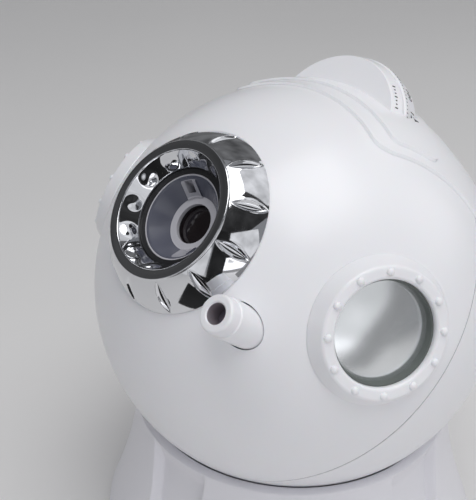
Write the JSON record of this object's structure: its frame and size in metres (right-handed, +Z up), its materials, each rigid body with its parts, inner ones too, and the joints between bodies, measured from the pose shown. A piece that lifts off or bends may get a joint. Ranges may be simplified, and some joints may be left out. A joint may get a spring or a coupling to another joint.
{
  "type": "home planetarium projector",
  "caption": "Ball-shaped home planetarium on a splayed stand, with a chrome focus ring, round side portholes, a meteor tube and a timer dial; the ball tilts and the ring focuses the lens.",
  "frame": {"origin": "centre of the stand's foot plane, on the table straight under the ball's centre", "axes": "+Z up; the lens points along -Y and up; +X to the side of the ball that carries the meteor tube"},
  "size_m": [0.1646, 0.16, 0.2069],
  "materials": {
    "shell_white": "satin-gloss moulded ABS",
    "stand_white": "satin-gloss moulded ABS",
    "chrome_plate": "bright plating over moulded plastic",
    "black_plastic": "fine matt black moulding",
    "lens_grey": "satin grey moulding",
    "lens_glass": "polished",
    "inner_grey": "matt grey moulding",
    "gear_plastic": "natural acetal",
    "star_film": "printed film between clear discs",
    "screw_steel": "zinc plated",
    "sink_aluminium": "as extruded",
    "led_plastic": "clear-yellow epoxy",
    "liner_plastic": "matt dark green-grey",
    "window_silver": "metallised, polished",
    "board_green": "solder mask",
    "board_plastic": "black component bodies",
    "rubber_dark": "matt"
  },
  "bodies": {
    "stand": {"stand_body": "stand_white", "cradle_pads": "rubber_dark", "base_plate": "stand_white", "base_screws": "screw_steel", "rubber_feet": "rubber_dark"},
    "ball": {"front_shell": "shell_white", "rear_shell": "shell_white", "shell_screws": "screw_steel", "saddle_lower": "shell_white", "saddle_top": "shell_white", "dial_bracket": "inner_grey", "timer_switch": "black_plastic", "guide_tube": "black_plastic", "chassis_plate": "inner_grey", "chassis_screws": "screw_steel", "carrier_clips": "inner_grey", "drive_motor": "screw_steel", "motor_plate": "screw_steel", "lamp_frame": "inner_grey", "lamp_led": "led_plastic", "condenser_lens": "lens_glass", "heat_sink": "sink_aluminium", "porthole_ring_right": "shell_white", "porthole_ring_left": "shell_white", "porthole_rivets": "shell_white", "porthole_liners": "liner_plastic", "porthole_windows": "window_silver", "meteor_tube": "shell_white", "meteor_lens": "lens_glass", "meteor_led": "led_plastic", "main_board": "board_green", "board_parts": "board_plastic", "board_screws": "screw_steel", "power_inlet": "black_plastic"},
    "focus": {"focus_ring": "chrome_plate", "focus_cam": "black_plastic", "ring_retainer": "black_plastic"},
    "lens": {"lens_barrel": "lens_grey", "front_lens": "lens_glass", "rear_lens": "lens_glass", "lens_lock_ring": "black_plastic"},
    "disc": {"disc_carrier": "gear_plastic", "star_disc": "star_film"},
    "pinion": {"drive_pinion": "gear_plastic", "motor_shaft": "screw_steel"},
    "dial": {"timer_dial": "shell_white"}
  },
  "joints": [
    {"name": "ball_tilt", "type": "hinge", "parent": "stand", "child": "ball", "pos_m": [0, 0, 0.12], "axis": [-1, 0, 0], "range_deg": [-42, 48]},
    {"name": "focus_turn", "type": "hinge", "parent": "ball", "child": "focus", "pos_m": [0, 0, 0.12], "axis": [0, -0.7431, 0.6691], "range_deg": [-50, 50]},
    {"name": "focus_travel", "type": "slide", "parent": "ball", "child": "lens", "axis": [0, -0.7431, 0.6691], "range_m": [-0.00301, 0.00301]},
    {"name": "disc_spin", "type": "hinge", "parent": "ball", "child": "disc", "pos_m": [0, 0, 0.12], "axis": [0, -0.7431, 0.6691], "continuous": true},
    {"name": "pinion_spin", "type": "hinge", "parent": "ball", "child": "pinion", "pos_m": [0, -0.0282, 0.08868], "axis": [0, -0.7431, 0.6691], "continuous": true},
    {"name": "dial_turn", "type": "hinge", "parent": "ball", "child": "dial", "pos_m": [0, 0.03928, 0.16362], "axis": [0, -0.7431, 0.6691], "range_deg": [-60, 60]}
  ],
  "couplings": [
    {"joint": "focus_travel", "follows": "focus_turn", "m_per_rad": 0.0034377},
    {"joint": "pinion_spin", "follows": "disc_spin", "ratio": -3.6667}
  ]
}
